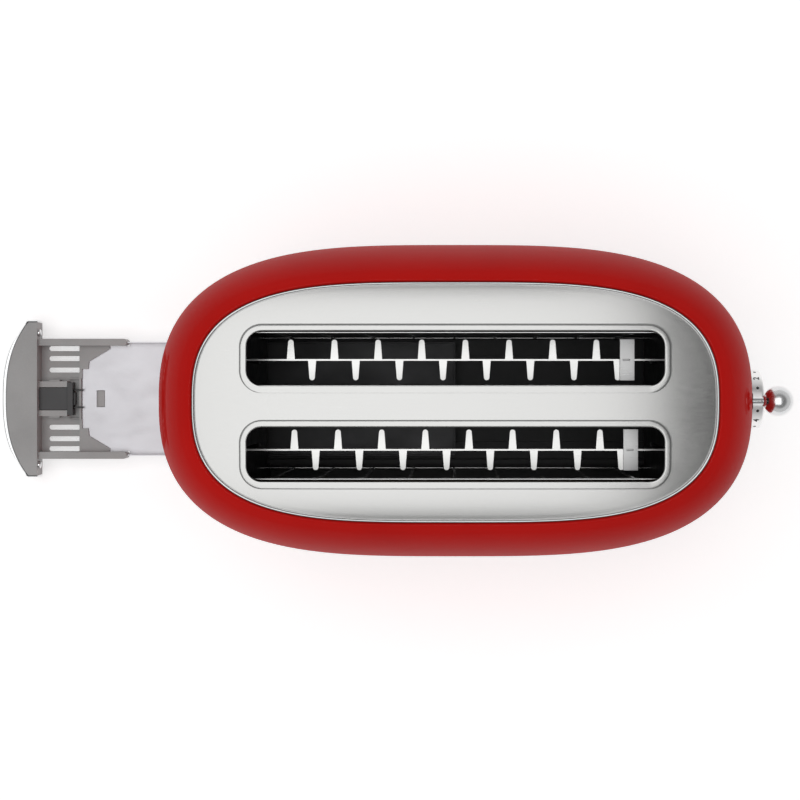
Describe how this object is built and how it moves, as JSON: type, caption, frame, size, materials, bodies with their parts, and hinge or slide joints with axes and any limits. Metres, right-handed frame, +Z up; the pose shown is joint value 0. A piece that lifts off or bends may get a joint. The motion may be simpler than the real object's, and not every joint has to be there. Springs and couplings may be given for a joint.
{
  "type": "pop-up toaster",
  "caption": "Rounded enamelled toaster with two long bread slots, a ball lever, a browning dial and push buttons at one end, and a crumb tray drawn out of the other.",
  "frame": {"origin": "middle of the body's footprint, on the table plane under the middle foot", "axes": "+X from the crumb tray end to the lever end, +Y to the back where the cord gland is, +Z up"},
  "size_m": [0.5239, 0.2, 0.215],
  "materials": {
    "enamel": "glossy enamel",
    "top_steel": "satin, brushed along the slots",
    "chrome": "polished",
    "base_plastic": "fine moulded texture",
    "foot_rubber": "matt",
    "zinc_steel": "zinc plated",
    "screw_steel": "zinc plated",
    "black_plastic": "satin black",
    "mica": "flaky mineral sheet",
    "heater_ribbon": "dull nickel chrome ribbon",
    "wire_steel": "bright wire",
    "rail_steel": "bright, with scuffed tips",
    "spring_steel": "oiled spring wire",
    "magnet_iron": "laminated iron",
    "coil_copper": "enamelled copper wire",
    "board_green": "solder mask",
    "component_black": "moulded cases",
    "tray_plastic": "fine moulded texture",
    "tray_steel": "smooth plated sheet",
    "dial_face": "silver lacquer",
    "lead_cover": "wire covering"
  },
  "bodies": {
    "body": {"outer_shell": "enamel", "top_trim": "chrome", "top_plate": "top_steel", "base_band": "chrome", "base_plate": "base_plastic", "feet": "foot_rubber", "base_screws": "screw_steel", "cord_gland": "black_plastic", "end_plate_left": "zinc_steel", "end_plate_right": "zinc_steel", "reflector_front": "zinc_steel", "reflector_back": "zinc_steel", "heater_board_front": "mica", "heater_board_centre": "mica", "heater_board_back": "mica", "heater_winding_front": "heater_ribbon", "heater_winding_centre": "heater_ribbon", "heater_winding_back": "heater_ribbon", "guide_rods": "zinc_steel", "return_springs": "spring_steel", "top_bracket": "zinc_steel", "bottom_bracket": "zinc_steel", "magnet_core": "magnet_iron", "magnet_coil": "coil_copper", "circuit_board": "board_green", "board_components": "component_black", "potentiometer": "component_black", "button_switches": "component_black", "control_panel": "chrome", "lever_slot_liner": "black_plastic", "tray_runners": "base_plastic", "mains_leads": "lead_cover"},
    "carriage": {"bread_rail_front": "rail_steel", "bread_rail_back": "rail_steel", "rail_saddles": "rail_steel", "carriage_bracket": "zinc_steel", "keeper_plate": "magnet_iron", "lever_arm": "zinc_steel", "lever_knob": "chrome"},
    "tray": {"tray_pan": "tray_steel", "tray_block": "tray_plastic", "tray_front_trim": "chrome", "tray_latch": "black_plastic", "trim_studs": "screw_steel"},
    "tray_jaws": {"tray_latch_jaw": "black_plastic"},
    "dial": {"dial_ring": "chrome", "dial_cap": "dial_face", "dial_shaft": "zinc_steel"},
    "guide_front_outer_body": {"guide_front_outer": "wire_steel"},
    "guide_front_inner_body": {"guide_front_inner": "wire_steel"},
    "guide_back_inner_body": {"guide_back_inner": "wire_steel"},
    "guide_back_outer_body": {"guide_back_outer": "wire_steel"},
    "button_stop_body": {"button_stop": "chrome"},
    "button_reheat_body": {"button_reheat": "chrome"},
    "button_defrost_body": {"button_defrost": "chrome"},
    "button_bagel_body": {"button_bagel": "chrome"}
  },
  "joints": [
    {"name": "lever_slide", "type": "slide", "parent": "body", "child": "carriage", "axis": [0, 0, 1], "range_m": [-0.07, 0], "stiffness_N_per_m": 60, "springref_m": 0.1, "deforming": ["return_springs"]},
    {"name": "tray_slide", "type": "slide", "parent": "body", "child": "tray", "axis": [-1, 0, 0], "range_m": [-0.1315, 0.15]},
    {"name": "tray_jaw_slide", "type": "slide", "parent": "tray", "child": "tray_jaws", "axis": [-1, 0, 0], "range_m": [0, 0.004], "stiffness_N_per_m": 500, "springref_m": -0.002},
    {"name": "dial_turn", "type": "hinge", "parent": "body", "child": "dial", "pos_m": [0.19, 0, 0.048], "axis": [1, 0, 0], "range_deg": [-138, 92]},
    {"name": "stop_press", "type": "slide", "parent": "body", "child": "button_stop_body", "axis": [-1, 0, 0], "range_m": [0, 0.0015], "stiffness_N_per_m": 500, "springref_m": -0.002},
    {"name": "reheat_press", "type": "slide", "parent": "body", "child": "button_reheat_body", "axis": [-1, 0, 0], "range_m": [0, 0.0015], "stiffness_N_per_m": 500, "springref_m": -0.002},
    {"name": "defrost_press", "type": "slide", "parent": "body", "child": "button_defrost_body", "axis": [-1, 0, 0], "range_m": [0, 0.0015], "stiffness_N_per_m": 500, "springref_m": -0.002},
    {"name": "bagel_press", "type": "slide", "parent": "body", "child": "button_bagel_body", "axis": [-1, 0, 0], "range_m": [0, 0.0015], "stiffness_N_per_m": 500, "springref_m": -0.002},
    {"name": "guide_front_outer_swing", "type": "hinge", "parent": "body", "child": "guide_front_outer_body", "pos_m": [0, -0.0461, 0.06], "axis": [-1, 0, 0], "range_deg": [0, 3.72]},
    {"name": "guide_front_inner_swing", "type": "hinge", "parent": "body", "child": "guide_front_inner_body", "pos_m": [0, -0.0141, 0.06], "axis": [1, 0, 0], "range_deg": [0, 3.72]},
    {"name": "guide_back_inner_swing", "type": "hinge", "parent": "body", "child": "guide_back_inner_body", "pos_m": [0, 0.0093, 0.06], "axis": [-1, 0, 0], "range_deg": [0, 3.72]},
    {"name": "guide_back_outer_swing", "type": "hinge", "parent": "body", "child": "guide_back_outer_body", "pos_m": [0, 0.0413, 0.06], "axis": [1, 0, 0], "range_deg": [0, 3.72]}
  ],
  "couplings": [
    {"joint": "guide_front_outer_swing", "follows": "lever_slide", "rad_per_m": -0.9223},
    {"joint": "guide_front_inner_swing", "follows": "lever_slide", "rad_per_m": -0.9223},
    {"joint": "guide_back_inner_swing", "follows": "lever_slide", "rad_per_m": -0.9223},
    {"joint": "guide_back_outer_swing", "follows": "lever_slide", "rad_per_m": -0.9223}
  ]
}
